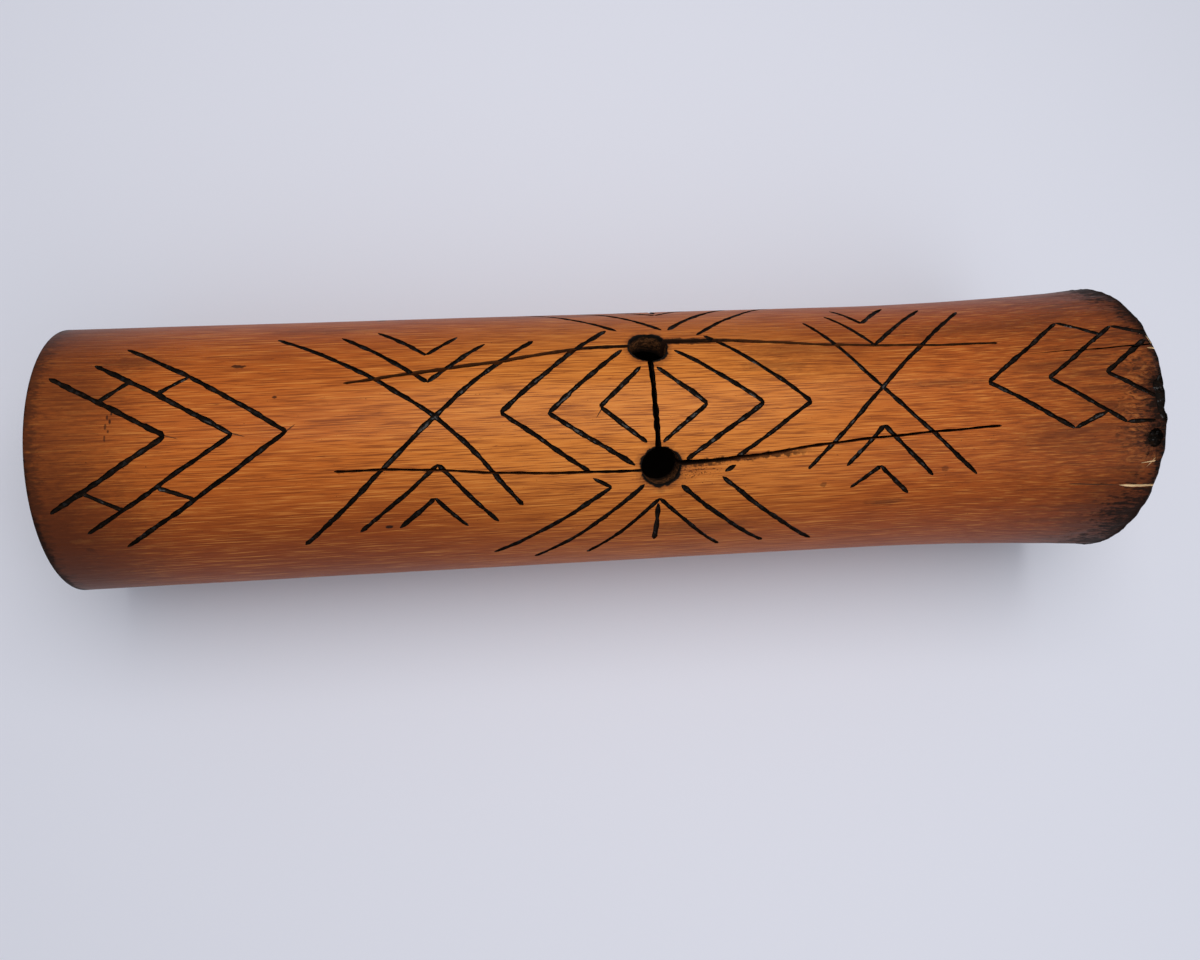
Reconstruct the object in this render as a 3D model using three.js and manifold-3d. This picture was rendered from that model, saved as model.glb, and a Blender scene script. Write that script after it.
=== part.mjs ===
// A bamboo slit drum: one length of thick-walled culm, open at its thin end and closed at its thick end
// by the culm's own node wall. Two bored holes, two sawn slits and a cross cut between the holes form
// an H that frees two tongues, and burnt gouge cuts decorate the skin around it.
// Millimetres. +X runs along the culm towards the node, +Z is up, and the drum lies on z = 0.
import * as THREE from "three";
import { mergeVertices } from "three/addons/utils/BufferGeometryUtils.js";
import Module from "manifold-3d";

const wasm = await Module();
wasm.setup();

// ---- Driving dimensions ----

const LENGTH = 456; // 18 inches
const BODY_RADIUS = 56; // of the skin along most of the culm
const THIN_END_RADIUS = 54.7;
const TAPER_SHARE = 0.8; // of the length over which the culm grows to its body radius
const NODE_SWELL = 5.2; // how far the node stands out over the body
const SWELL_SHARE = 0.28; // of the length over which it swells
const WALL = 9;
const NODE_WALL = 12; // wall thickness of the rim past the node
const NODE_DISC = { start: 212, thickness: 5, fillet: 5, dome: 2 }; // the wall that closes the culm
const THIN_RIM_ROUND = 0.8;
const NODE_RIM_ROUND = 2.4;
const FLAT_DEPTH = 0.7; // worn off the underside of both ends, so that the drum doesn't roll
const SIDES = 60;
const SKIN_STATIONS = [-20, 105, 137, 162, 184, 205];

const HALF = LENGTH / 2;
const OVERCUT = 2; // how far a cutter reaches past the surface it cuts

// Where the holes, slits and carving lie is given as [x, arc]: x from the drum's middle along the culm,
// and arc round the skin from the line on top, positive towards +Y, measured at the body radius.
const HOLE_RADIUS = 8.2;
const HOLES = [[9.5, 26.5], [10.5, -26.5]];
const KERF = 1.2; // width of a slit
const CROSS_CUT_WIDTH = 2.3;
const SLITS = [
  [[-112.5, 13], [-85, 16.5], [-50, 21.5], [-20, 26.3], [9.5, 27.5]],
  [[9.5, 29.5], [45, 28.5], [90, 24], [125, 22], [160, 21]],
  [[-117, -22.5], [-90, -23], [-55, -26], [-20, -27.5], [10.5, -28]],
  [[10.5, -26], [45, -24], [80, -20.3], [115, -17.7], [155, -16]],
];
const CROSS_CUT = [[9, 26], [9.5, -26]];

const GOUGE = { width: 2.2, depth: 1.1, lead: 2.2 }; // lead: length over which a cut deepens
const GOUGE_END_SCALE = 0.3; // of the section where a cut starts and stops
const TIE_GOUGE = { width: 1.6, depth: 0.8, lead: 1.2 }; // the finer cuts that tie arrows together
const ARC_STEP = 10; // longest piece of skin that a cutter crosses in one straight step
const LONG_STEP = 45; // and along the culm, where the skin is nearly straight

// Nested arrows. Each arrow is two cuts from its tip, given by their run along the culm and their rise
// round it, with one value for each arrow of the nest.
const THIN_END_ARROWS = {
  tips: { x: [-178, -153.5, -133.5], arc: [-6, -6.5, -6] },
  arms: [
    { run: [-43, -52, -62], rise: [26, 32.5, 41.5] },
    { run: [-43, -56.5, -64], rise: [-28.5, -37.5, -45.5] },
  ],
};
// Ties between one arrow and the next: how far out along the arm of each, as a share of its length.
const THIN_END_TIES = [
  { arm: 0, shares: [[0.56, 0.73], [0.54, 0.59]] },
  { arm: 1, shares: [[0.72, 0.74], [0.51, 0.555]] },
];
const NODE_END_ARROWS = {
  tips: { x: [151, 177.5, 203], arc: [2.5, 3, 4] },
  arms: [
    { run: [39, 35.5, 22], rise: [27.5, 23, 14] },
    { run: [36, 32.5, 20], rise: [-20.5, -19.5, -11] },
  ],
};
// Cuts that turn back in from the ends of the first two node-end arrows.
const NODE_END_RETURNS = [
  { arm: 0, run: [13.5, 12], rise: [-7.5, -4.5] },
  { arm: 1, run: [14.5, 12], rise: [6, 0.5] },
];
// The nested diamonds between the holes, as two nests of arrows that point away from the cross cut.
const DIAMONDS = [
  {
    tips: { x: [-13, -34, -52.5], arc: [-1.5, -3, -2] },
    arms: [
      { run: [18, 32.5, 46], rise: [17.5, 28, 40.5] },
      { run: [18, 34, 34.5], rise: [-15, -22.5, -25.5] },
    ],
  },
  {
    tips: { x: [30.5, 54, 74], arc: [-1.5, -2, -2.5] },
    arms: [
      { run: [-19, -34, -40], rise: [17, 26, 35] },
      { run: [-19, -33, -33], rise: [-15, -22, -22] },
    ],
  },
];
// The two crosses, each with a pair of small arrows above it and a pair below.
const CROSSES = [
  {
    centre: [-78, -2.5],
    legs: { run: [-61, 33, -53.5, 40.5], rise: [42, -38, -53, 35] },
    arrows: [
      {
        tips: { x: [-80.5, -80.5], arc: [12, 26] },
        arms: [{ run: [-33.5, -19.5], rise: [27, 16.5] }, { run: [23.5, 12.5], rise: [19.5, 11] }],
      },
      {
        tips: { x: [-77.5, -79.5], arc: [-21.5, -35.5] },
        arms: [{ run: [-32, -14.5], rise: [-28.5, -13.5] }, { run: [22.5, 12.5], rise: [-26.5, -14] }],
      },
    ],
  },
  {
    centre: [105, 2.5],
    legs: { run: [-26, 41, 46, -33], rise: [37.5, -38.5, 41.5, -33] },
    arrows: [
      {
        tips: { x: [106, 105], arc: [23, 38] },
        arms: [{ run: [-15.5, -9.5], rise: [22.5, 14.5] }, { run: [29, 15], rise: [25.5, 15] }],
      },
      {
        tips: { x: [104, 103], arc: [-13.5, -30.5] },
        arms: [{ run: [-15.5, -12], rise: [-16.5, -9.5] }, { run: [22.5, 14], rise: [-22.5, -13.5] }],
      },
    ],
  },
];
// Rays that fan out from the holes down both flanks, with a short bar in the middle of each fan.
const FANS = [
  {
    x: [-9.5, 4, 10.5, 10.5, 19, 36],
    arc: [-34.5, -34, -40.5, -40.5, -35, -32],
    run: [-47.5, -44, -28.5, 28.5, 39, 44],
    rise: [-33.5, -40, -31.5, -30.5, -35, -38.5],
    bar: { x: 10, arc: -43, rise: -21 },
  },
  {
    x: [-2, 17, 17, 17, 19.5, 31],
    arc: [38, 37.5, 54, 54, 37.5, 33],
    run: [-42, -40, -24, 24, 40, 44],
    rise: [32, 36, 18, 18, 35, 36],
    bar: { x: 17, arc: 57, rise: 16 },
  },
];
const HOOKS = [[[-17, -30], [-9.5, -34.5]], [[41.5, -27.5], [37, -30]]]; // short cuts by the lower slit

// The node's bud scars, bored through by rot and burnt out, and the scoop that the saw broke off the rim.
const BUD_SCARS = [{ at: [225, -3.5], radius: 2.4 }, { at: [222.5, -23], radius: 3 }];
const SCAR_DEPTH = 2;
const RIM_SCOOP = { arc: -10, radius: 13.5, depth: 3 };

// ---- The culm ----

// Radius of the skin at x: a slight taper, and the swelling towards the node.
function skinRadius(x) {
  const share = (x + HALF) / LENGTH;
  const grown = THREE.MathUtils.lerp(THIN_END_RADIUS, BODY_RADIUS, Math.min(1, share / TAPER_SHARE));
  const swollen = Math.max(0, (share - 1 + SWELL_SHARE) / SWELL_SHARE);
  return grown + NODE_SWELL * swollen ** 2;
}

// A quarter round from one [x, radius] corner side to the other, for the profile of a rim or a fillet.
function quarterRound([x, radius], size, startAngle, endAngle, steps = 2) {
  return Array.from({ length: steps + 1 }, (_, i) => {
    const angle = THREE.MathUtils.lerp(startAngle, endAngle, i / steps);
    return [x + size * Math.cos(angle), radius + size * Math.sin(angle)];
  });
}

// The profile of the whole culm as [x, radius], from the axis inside the node wall, along the bore to the
// thin end, back along the skin to the node, and over the node wall's outer face to the axis.
function culmProfile() {
  const { start, thickness, fillet, dome } = NODE_DISC;
  const boreAtNode = BODY_RADIUS - WALL;
  const boreAtThinEnd = THIN_END_RADIUS - WALL;
  const rimBore = skinRadius(HALF) - NODE_WALL;
  const back = start + thickness;
  const thinRim = [-HALF + THIN_RIM_ROUND, THIN_END_RADIUS - THIN_RIM_ROUND];
  const nodeRim = [HALF - NODE_RIM_ROUND, skinRadius(HALF) - NODE_RIM_ROUND];
  return [
    [start + dome, 0],
    ...quarterRound([start - fillet, boreAtNode - fillet], fillet, 0, Math.PI / 2),
    [-HALF, boreAtThinEnd],
    ...quarterRound(thinRim, THIN_RIM_ROUND, Math.PI, Math.PI / 2),
    ...SKIN_STATIONS.map((x) => [x, skinRadius(x)]),
    ...quarterRound(nodeRim, NODE_RIM_ROUND, Math.PI / 2, 0),
    [HALF, rimBore],
    ...quarterRound([back + fillet, rimBore - fillet], fillet, Math.PI / 2, Math.PI),
    [back + dome, 0],
  ];
}

function culm() {
  const points = culmProfile().map(([x, radius]) => new THREE.Vector2(radius, x));
  return new THREE.LatheGeometry(points, SIDES).rotateZ(-Math.PI / 2);
}

// ---- Solids and cutters ----

// A closed geometry as a solid that can be cut. Faces that merging leaves without area are dropped.
function solidOf(geometry) {
  const bare = new THREE.BufferGeometry().setAttribute("position", geometry.getAttribute("position"));
  bare.setIndex(geometry.index);
  const merged = mergeVertices(bare, 1e-4);
  const corners = Array.from(merged.index.array);
  const faces = [];
  for (let i = 0; i < corners.length; i += 3) {
    const [a, b, c] = corners.slice(i, i + 3);
    if (a !== b && b !== c && c !== a) faces.push(a, b, c);
  }
  return new wasm.Manifold(
    new wasm.Mesh({
      numProp: 3,
      vertProperties: merged.getAttribute("position").array,
      triVerts: new Uint32Array(faces),
    }),
  );
}

// A place given as [x, arc, height over the skin], laid on the round culm.
function wrapped(x, arc, height) {
  const angle = arc / BODY_RADIUS;
  const radius = skinRadius(x) + height;
  return new THREE.Vector3(x, radius * Math.sin(angle), radius * Math.cos(angle));
}

// A cutter of the given cross-section, swept along a path of [x, arc] points and wrapped on the culm.
// The section is drawn with its width along x and its height over the skin along y. narrowing(share)
// scales it along the path.
function sweptCutter(section, path, stations, narrowing = () => 1) {
  const steps = stations.length - 1;
  const geometry = new THREE.ExtrudeGeometry(section, { depth: steps, steps, bevelEnabled: false });
  const position = geometry.getAttribute("position");
  for (let i = 0; i < position.count; i++) {
    const share = stations[Math.round(position.getZ(i))];
    const scale = narrowing(share);
    const centre = path.getPointAt(share);
    const ahead = path.getTangentAt(share);
    const side = position.getX(i) * scale;
    const height = position.getY(i) > 0 ? position.getY(i) : position.getY(i) * scale;
    const place = wrapped(centre.x - ahead.y * side, centre.y + ahead.x * side, height);
    position.setXYZ(i, place.x, place.y, place.z);
  }
  return geometry;
}

function pathThrough(points) {
  return new THREE.SplineCurve(points.map(([x, arc]) => new THREE.Vector2(x, arc)));
}

// Even stations along a path, close enough that straight steps between them keep to the round skin.
function evenStations(path) {
  const turn = Math.abs(path.getPoint(1).y - path.getPoint(0).y);
  const steps = Math.max(1, Math.ceil(turn / ARC_STEP), Math.ceil(path.getLength() / LONG_STEP));
  return Array.from({ length: steps + 1 }, (_, i) => i / steps);
}

// A V-shaped gouge cut from one point to another that goes in shallow and comes out shallow.
function gougeCut(from, to, gouge = GOUGE) {
  const path = pathThrough([from, to]);
  const lead = gouge.lead / path.getLength();
  const inner = evenStations(path).map((share) => lead + share * (1 - 2 * lead));
  const slope = gouge.width / 2 / gouge.depth;
  const topHalf = (gouge.depth + OVERCUT) * slope;
  const section = new THREE.Shape([
    new THREE.Vector2(0, -gouge.depth),
    new THREE.Vector2(topHalf, OVERCUT),
    new THREE.Vector2(-topHalf, OVERCUT),
  ]);
  const narrowing = (share) => (share === 0 || share === 1 ? GOUGE_END_SCALE : 1);
  return sweptCutter(section, path, [0, ...inner, 1], narrowing);
}

// A sawn cut right through the wall, along a curve through the points.
function sawCut(points, width) {
  const path = pathThrough(points);
  const section = new THREE.Shape([
    new THREE.Vector2(-width / 2, -WALL - OVERCUT),
    new THREE.Vector2(width / 2, -WALL - OVERCUT),
    new THREE.Vector2(width / 2, OVERCUT),
    new THREE.Vector2(-width / 2, OVERCUT),
  ]);
  return sweptCutter(section, path, evenStations(path));
}

// A cylinder that stands on the skin at [x, arc] and reaches to the given depth under it.
function bored([x, arc], radius, depth, sides = 24) {
  const length = depth + OVERCUT;
  const middle = wrapped(x, arc, (OVERCUT - depth) / 2);
  return new THREE.CylinderGeometry(radius, radius, length, sides)
    .rotateX(Math.PI / 2)
    .rotateX(-arc / BODY_RADIUS)
    .translate(middle.x, middle.y, middle.z);
}

// ---- Carving ----

const shifted = ([x, arc], run, rise) => [x + run, arc + rise];
const tipOf = (nest, i) => [nest.tips.x[i], nest.tips.arc[i]];
const armEnd = (nest, arm, i, share = 1) =>
  shifted(tipOf(nest, i), nest.arms[arm].run[i] * share, nest.arms[arm].rise[i] * share);

function nestCuts(nest) {
  const armCuts = (i) => nest.arms.map((_, arm) => gougeCut(tipOf(nest, i), armEnd(nest, arm, i)));
  return nest.tips.x.flatMap((_, i) => armCuts(i));
}

function tieCuts(nest, ties) {
  return ties.flatMap(({ arm, shares }) =>
    shares.map(([near, far], i) =>
      gougeCut(armEnd(nest, arm, i, near), armEnd(nest, arm, i + 1, far), TIE_GOUGE),
    ),
  );
}

function returnCuts(nest, returns) {
  return returns.flatMap(({ arm, run, rise }) =>
    run.map((length, i) => {
      const corner = armEnd(nest, arm, i);
      return gougeCut(corner, shifted(corner, length, rise[i]));
    }),
  );
}

function crossCuts({ centre, legs, arrows }) {
  const crossing = legs.run.map((run, i) => gougeCut(centre, shifted(centre, run, legs.rise[i])));
  return [...crossing, ...arrows.flatMap(nestCuts)];
}

function fanCuts({ x, arc, run, rise, bar }) {
  const rays = x.map((start, i) => gougeCut([start, arc[i]], [start + run[i], arc[i] + rise[i]]));
  return [...rays, gougeCut([bar.x, bar.arc], [bar.x, bar.arc + bar.rise])];
}

const carving = () => [
  ...nestCuts(THIN_END_ARROWS),
  ...tieCuts(THIN_END_ARROWS, THIN_END_TIES),
  ...CROSSES.flatMap(crossCuts),
  ...DIAMONDS.flatMap(nestCuts),
  ...FANS.flatMap(fanCuts),
  ...HOOKS.map(([from, to]) => gougeCut(from, to)),
  ...nestCuts(NODE_END_ARROWS),
  ...returnCuts(NODE_END_ARROWS, NODE_END_RETURNS),
];

// ---- The tongues, the node's scars and the resting flats ----

const tongues = () => [
  ...HOLES.map((hole) => bored(hole, HOLE_RADIUS, WALL + OVERCUT, 28)),
  ...SLITS.map((slit) => sawCut(slit, KERF)),
  sawCut(CROSS_CUT, CROSS_CUT_WIDTH),
];

const nodeScars = () => [
  ...BUD_SCARS.map(({ at, radius }) => bored(at, radius, SCAR_DEPTH, 10)),
  bored([HALF - RIM_SCOOP.depth + RIM_SCOOP.radius, RIM_SCOOP.arc], RIM_SCOOP.radius, NODE_WALL / 2, 28),
];

// How the drum lies: the node stands out more than the thin end, so the culm tips up towards it.
const nodeFoot = { x: HALF - NODE_RIM_ROUND, radius: skinRadius(HALF - NODE_RIM_ROUND) };
const tilt = Math.atan2(nodeFoot.radius - THIN_END_RADIUS, HALF + nodeFoot.x);
const axisHeight = THIN_END_RADIUS * Math.cos(tilt) + HALF * Math.sin(tilt) - FLAT_DEPTH;

const drum = new THREE.Mesh(
  new THREE.BufferGeometry(),
  new THREE.MeshStandardMaterial({ color: 0xb4622a, roughness: 0.42, metalness: 0 }),
);
drum.name = "bamboo_body";
drum.rotation.y = -tilt;
drum.position.z = axisHeight;
drum.updateMatrix();

// Everything under z = 0, brought into the drum's own frame.
function floorBlock() {
  const height = 20;
  return new THREE.BoxGeometry(LENGTH * 1.2, BODY_RADIUS * 2, height)
    .translate(0, 0, -height / 2)
    .applyMatrix4(drum.matrix.clone().invert());
}

const cutters = [...carving(), ...tongues(), ...nodeScars(), floorBlock()].map(solidOf);
const carved = solidOf(culm()).subtract(wasm.Manifold.union(cutters));
const { vertProperties, triVerts } = carved.getMesh();
drum.geometry.setAttribute("position", new THREE.BufferAttribute(vertProperties, 3));
drum.geometry.setIndex(new THREE.BufferAttribute(triVerts, 1));
drum.geometry.computeVertexNormals();

const slitDrum = new THREE.Group();
slitDrum.add(drum);

export default slitDrum;
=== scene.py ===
# %% [markdown]
# # A bamboo slit drum
# The real drum is one length of a thick bamboo culm. It is sawn off square at its thin end, which stays
# open, and cut at a node at its thick end, where the culm's own partition closes it. Two bored holes, two
# saw slits and a cross cut between the holes form an H, which frees two tongues to be struck. The skin is
# oiled and polished, and decorated with gouge cuts that were burnt black.
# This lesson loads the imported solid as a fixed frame, models the drum again with a finer surface around the
# same measures, and gives each surface of the bamboo a procedural finish.

import math
import random

import bpy
import numpy as np
from mathutils import Euler, Matrix, Vector
from mathutils.geometry import interpolate_bezier


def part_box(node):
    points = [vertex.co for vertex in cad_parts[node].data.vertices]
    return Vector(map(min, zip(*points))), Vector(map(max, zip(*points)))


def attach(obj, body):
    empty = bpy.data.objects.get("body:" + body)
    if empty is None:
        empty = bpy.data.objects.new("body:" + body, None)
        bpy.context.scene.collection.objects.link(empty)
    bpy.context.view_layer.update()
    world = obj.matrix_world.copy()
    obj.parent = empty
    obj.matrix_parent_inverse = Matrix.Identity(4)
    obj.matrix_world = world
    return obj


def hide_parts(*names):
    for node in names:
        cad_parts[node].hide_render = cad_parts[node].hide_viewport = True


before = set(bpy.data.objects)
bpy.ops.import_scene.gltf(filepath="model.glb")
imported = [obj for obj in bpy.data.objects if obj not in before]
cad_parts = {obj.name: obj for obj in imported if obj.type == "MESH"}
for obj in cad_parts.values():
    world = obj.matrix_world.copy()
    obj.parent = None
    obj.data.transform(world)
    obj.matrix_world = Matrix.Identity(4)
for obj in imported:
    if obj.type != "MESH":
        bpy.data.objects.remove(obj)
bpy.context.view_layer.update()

# %% [markdown]
# ## Measures
# The drum is drawn lying along X with its axis through the origin, and is set down in the frame at the end.
# A culm is a tube with a slight taper that swells towards its node, so its skin is a function of the place
# along it. The node's swell comes from the imported solid, and the length is given. The node stands out
# further than the thin end, so the axis of a drum that lies on the floor tips up a little.

# %% Measures of the culm, in metres
MM = 0.001
low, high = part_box("bamboo_body")
LENGTH = 456 * MM
HALF = LENGTH / 2
BODY_RADIUS = 56 * MM
THIN_END_RADIUS = 54.7 * MM
NODE_RADIUS = (high.y - low.y) / 2
TAPER_SHARE = 0.8
SWELL_SHARE = 0.28
WALL = 9 * MM
NODE_WALL = 12 * MM
THIN_RIM_ROUND = 0.8 * MM
NODE_RIM_ROUND = 2.4 * MM
FLAT_DEPTH = 0.7 * MM


def skin_radius(x):
    """Radius of the skin at x, which may be a number or an array."""
    share = (x + HALF) / LENGTH
    grown = THIN_END_RADIUS + (BODY_RADIUS - THIN_END_RADIUS) * np.minimum(1, share / TAPER_SHARE)
    swollen = np.maximum(0, (share - 1 + SWELL_SHARE) / SWELL_SHARE)
    return grown + (NODE_RADIUS - BODY_RADIUS) * swollen**2


node_foot = HALF - NODE_RIM_ROUND
TILT = math.atan2(skin_radius(node_foot) - THIN_END_RADIUS, HALF + node_foot)
AXIS_HEIGHT = THIN_END_RADIUS * math.cos(TILT) + HALF * math.sin(TILT) - FLAT_DEPTH
SET_DOWN = Matrix.Translation((0, 0, AXIS_HEIGHT)) @ Matrix.Rotation(-TILT, 4, "Y")
print(f"node radius {NODE_RADIUS:.4f}, axis {AXIS_HEIGHT:.4f} up, tipped {math.degrees(TILT):.2f} degrees")

# %% [markdown]
# ## Camera
# The camera comes first, because it settles which surfaces need the finest work. It looks down on the drum
# steeply from a little in front, through a wide lens held close, so the thick end spreads in the view.

# %% Camera
CAMERA_PLACE = Vector((-0.0696, -0.1070, 0.4753))
CAMERA_TURN = Euler([math.radians(angle) for angle in (12.308, -7.482, -4.280)])

camera_data = bpy.data.cameras.new("camera")
camera_data.lens = 28.83
camera_data.clip_start = 0.01
camera = bpy.data.objects.new("camera", camera_data)
camera.matrix_world = Matrix.Translation(CAMERA_PLACE) @ CAMERA_TURN.to_matrix().to_4x4()
bpy.context.scene.collection.objects.link(camera)
bpy.context.scene.camera = camera
print("camera at", tuple(round(v, 3) for v in camera.location))

# %% [markdown]
# ## Floor and light
# A plain pale floor and soft studio light: an even sky of cool white, and a large lamp overhead that
# gives the polished skin its long highlight and the near flank its shade.

# %% Floor
FLOOR_SIZE = 6.0
bpy.ops.mesh.primitive_plane_add(size=FLOOR_SIZE, location=(0, 0, 0))
floor = bpy.context.object
floor.name = "floor"
print("floor", FLOOR_SIZE, "m across")


# %% Lamps and sky
def area_lamp(name, place, aim, size, power, colour):
    """A square soft box that faces its aim."""
    lamp_data = bpy.data.lights.new(name, "AREA")
    lamp_data.size = size
    lamp_data.energy = power
    lamp_data.color = colour
    lamp = bpy.data.objects.new(name, lamp_data)
    lamp.location = place
    lamp.rotation_euler = (Vector(aim) - Vector(place)).to_track_quat("-Z", "Y").to_euler()
    bpy.context.scene.collection.objects.link(lamp)
    return lamp


area_lamp("soft_box", (0.05, 0.20, 1.02), (0.0, 0, 0.06), 0.80, 5.4, (1.0, 0.98, 0.97))
area_lamp("fill", (0.45, -0.75, 0.95), (0.10, 0, 0.05), 1.0, 2.9, (0.95, 0.97, 1.0))
sky = bpy.data.worlds.new("sky")
sky.use_nodes = True
sky.node_tree.nodes["Background"].inputs["Color"].default_value = (0.90, 0.93, 1.0, 1)
sky.node_tree.nodes["Background"].inputs["Strength"].default_value = 0.38
bpy.context.scene.world = sky
bpy.context.scene.view_settings.view_transform = "Standard"

# %% [markdown]
# ## Shader arithmetic
# Every finish below is worked out from where a point lies on the drum: how far along it, how far round it
# and how deep. Written as nodes, such sums are long chains that are hard to read. So a small class wraps
# one socket and turns Python's operators into Math nodes, and a second class holds one material's nodes.


# %% A socket that can be used in sums
class Wire:
    """One output socket of a material's nodes. Sums on it add Math nodes."""

    def __init__(self, graph, socket):
        self.graph = graph
        self.socket = socket

    def math(self, operation, first, second=0.0):
        return self.graph.node("Math", {"operation": operation}, {0: first, 1: second})

    def __add__(self, other):
        return self.math("ADD", self, other)

    def __sub__(self, other):
        return self.math("SUBTRACT", self, other)

    def __rsub__(self, other):
        return self.math("SUBTRACT", other, self)

    def __mul__(self, other):
        return self.math("MULTIPLY", self, other)

    def __truediv__(self, other):
        return self.math("DIVIDE", self, other)

    def __pow__(self, power):
        return self.math("POWER", self, power)

    def __abs__(self):
        return self.math("ABSOLUTE", self)

    def over(self, other):
        return self.math("MAXIMUM", self, other)

    __radd__ = __add__
    __rmul__ = __mul__


# %% The nodes of one material
class Finish:
    """A material with one Principled shader, and the places on the drum that its patterns are drawn by."""

    def __init__(self, name, roughness, coat=0.0, coat_roughness=0.3, specular=0.5):
        self.material = bpy.data.materials.new(name)
        self.material.use_nodes = True
        self.tree = self.material.node_tree
        self.shader = self.tree.nodes["Principled BSDF"]
        constants = {
            "Roughness": roughness,
            "Coat Weight": coat,
            "Coat Roughness": coat_roughness,
            "Specular IOR Level": specular,
        }
        for socket, value in constants.items():
            self.shader.inputs[socket].default_value = value

    def node(self, kind, settings, sockets, output=0):
        """Adds a node, its settings first and then the values or wires of its sockets."""
        added = self.tree.nodes.new("ShaderNode" + kind)
        for setting, value in settings.items():
            setattr(added, setting, value)
        for socket, value in sockets.items():
            self.feed(added.inputs[socket], value)
        return Wire(self, added.outputs[output])

    def feed(self, socket, value):
        if isinstance(value, Wire):
            self.tree.links.new(value.socket, socket)
        else:
            socket.default_value = value

    def noise(self, vector, detail=2.0, roughness=0.5, distortion=0.0):
        sockets = {"Vector": vector, "Scale": 1.0, "Detail": detail, "Roughness": roughness}
        return self.node("TexNoise", {}, {**sockets, "Distortion": distortion})

    def stretched(self, vector, along, across):
        """The place, scaled by so many repeats a metre along the culm and across it."""
        return self.node("Mapping", {}, {"Vector": vector, "Scale": (along, across, across)})

    def smooth(self, value, start, end):
        """0 before start and 1 after end, or the other way round where end is less than start."""
        sockets = {"Value": value, "From Min": start, "From Max": end}
        return self.node("MapRange", {"interpolation_type": "SMOOTHSTEP"}, sockets)

    def mix(self, share, first, second):
        """Blends two colours, each a wire or (red, green, blue)."""
        colours = [c if isinstance(c, Wire) else (*c, 1) for c in (first, second)]
        return self.node("Mix", {"data_type": "RGBA"}, {0: share, 6: colours[0], 7: colours[1]}, 2)

    def layers(self, colour, *layers):
        """Lays colours over the first one, each with its share from 0 to 1."""
        for share, layer in layers:
            colour = self.mix(share, colour, layer)
        return colour

    def bump(self, height, strength, depth, onto=None):
        """Bumps of the given depth in metres, laid over other bumps if there are any."""
        sockets = {"Height": height, "Strength": strength, "Distance": depth}
        return self.node("Bump", {}, {**sockets, **({"Normal": onto} if onto else {})})

    def show(self, **sockets):
        """Feeds the shader, with each socket's spaces written as underscores."""
        for name, value in sockets.items():
            self.feed(self.shader.inputs[name.replace("_", " ")], value)
        return self.material

    def spot(self, x, arc, long, wide, edge=0.35, ragged=0.0):
        """1 within an oval mark on the skin, in millimetres, that falls to 0 over its edge."""
        far_along, far_around = (self.along - x * MM) / (long * MM), (self.around - arc * MM) / (wide * MM)
        away = (far_along**2 + far_around**2) ** 0.5 + ragged
        return self.smooth(away, 1 + edge, 1 - edge)

    def burst(self, centres):
        """Fibres that run out on all sides from each of several places on the skin, in millimetres."""
        fibres = None
        for x, arc in centres:
            ahead, aside = self.along - x * MM, self.around - arc * MM
            reach = (ahead**2 + aside**2) ** 0.5
            ray = self.node("CombineXYZ", {}, {0: ahead.math("ARCTAN2", aside, ahead) * 7, 1: reach * 90})
            rays = self.noise(ray, detail=3, roughness=0.6, distortion=0.6) - 0.5
            near = rays * self.smooth(reach, 16 * MM, 7 * MM)
            fibres = near if fibres is None else fibres + near
        return fibres + 0.5

    def places(self):
        """The place along the drum's own axis, then how far along, round from the top line, and out it is."""
        coordinates = self.node("TexCoord", {}, {}, "Object")
        turned = {"Vector": coordinates, "Location": (0, 0, AXIS_HEIGHT), "Rotation": (0, -TILT, 0)}
        place = self.node("Mapping", {"vector_type": "TEXTURE"}, turned)
        self.along, across, up = (self.node("SeparateXYZ", {}, {0: place}, axis) for axis in "XYZ")
        self.around = across.math("ARCTAN2", across, up) * BODY_RADIUS
        return place, self.along, self.around, (across**2 + up**2) ** 0.5


print("shader tools ready")

# %% [markdown]
# ### Floor finish
# Painted board with a hint of mottling, so that it isn't one flat colour.

# %% Finish the floor
paint = Finish("pale_floor", 0.6, specular=0.3)
cloud = paint.noise(paint.node("TexCoord", {}, {}, "Object"), detail=2)
paint.show(Base_Color=paint.mix(cloud, (0.80, 0.815, 0.895), (0.82, 0.835, 0.915)))
floor.data.materials.append(paint.material)
print("floor finished in", paint.material.name)

# %% [markdown]
# ## Bamboo skin
# The skin of a cured culm is golden to red-brown under its oil, with fine dark fibres that run along it.
# It darkens to red-brown down the flanks, partly its own colour and partly painted shade, with more painted
# shade down the lower flank of the thin half, and it darkens towards the ends. Fire has scorched both rims,
# and soot clings round the bored holes. All of that follows from a point's place, so noise stretched along
# the culm draws the fibres, and soft distances to the rims, holes and slits draw the scorching.

# %% Colours of the bamboo
GOLD = (0.66, 0.205, 0.031)
AMBER = (0.50, 0.120, 0.017)
RUSSET = (0.265, 0.047, 0.008)
DEEP_RUSSET = (0.150, 0.024, 0.005)
UMBER = (0.092, 0.021, 0.006)
BURNT_BROWN = (0.022, 0.011, 0.006)
CHAR = (0.006, 0.004, 0.003)
FIBRE = (0.190, 0.040, 0.008)
STRAW = (0.78, 0.31, 0.065)
SINGED = (0.050, 0.014, 0.005)
KNOT_BROWN, KNOT_WISP, KNOT_CREASE = (0.20, 0.052, 0.011), (0.55, 0.20, 0.05), (0.020, 0.007, 0.003)
FRESH_WOOD = (0.78, 0.58, 0.33)
TAN = (0.52, 0.33, 0.16)
HOLES = [(9.5, 26.5), (10.5, -26.5)]  # x and arc of their middles, in millimetres
print("bamboo colours from", GOLD, "to", CHAR)


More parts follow.
